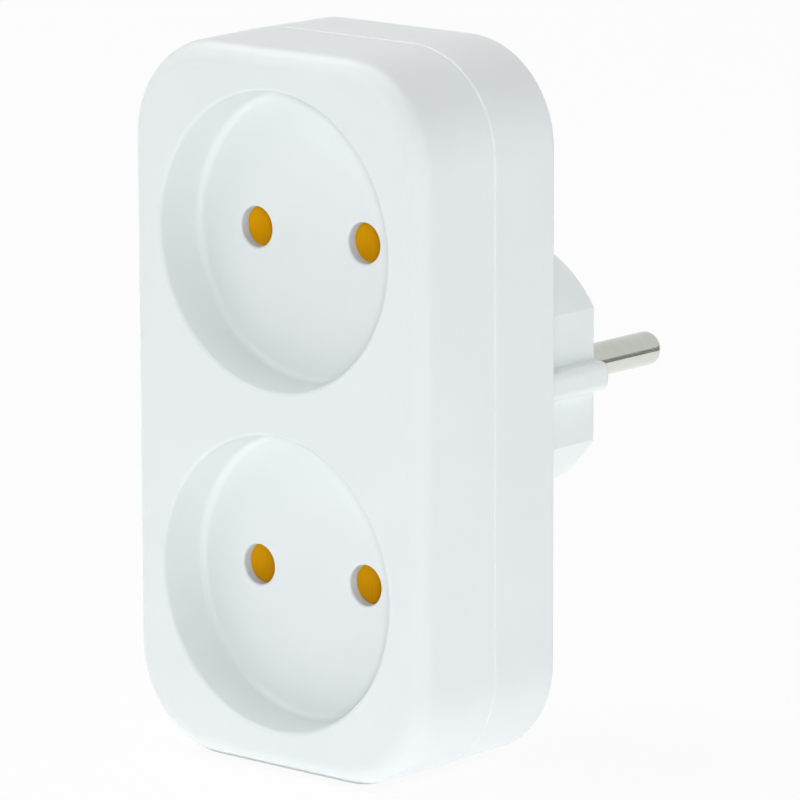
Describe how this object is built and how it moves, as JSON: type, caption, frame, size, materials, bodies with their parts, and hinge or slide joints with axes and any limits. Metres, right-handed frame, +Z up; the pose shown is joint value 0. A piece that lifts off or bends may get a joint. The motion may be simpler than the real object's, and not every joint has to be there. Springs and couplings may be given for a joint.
{
  "type": "multi socket adapter",
  "caption": "White unearthed socket adapter: upright rounded housing with round socket wells, brass contacts behind the pin holes, and a round plug nose with straight pins at the back.",
  "frame": {"origin": "middle of the plug nose's end face, halfway between the two pins", "axes": "+Y along the pins into the wall socket, +Z up along the row of sockets, +X to the right as seen from the sockets' side"},
  "size_m": [0.0514, 0.0675, 0.0976],
  "materials": {
    "white_plastic": "satin moulded white plastic",
    "contact_brass": "bright stamped brass strip",
    "pin_nickel": "nickel-plated turned brass",
    "screw_steel": "zinc-plated steel"
  },
  "bodies": {
    "root": {"front_cover": "white_plastic", "rear_cover": "white_plastic", "left_contact_bar": "contact_brass", "right_contact_bar": "contact_brass", "left_plug_pin": "pin_nickel", "right_plug_pin": "pin_nickel", "cover_screws": "screw_steel"}
  },
  "joints": []
}
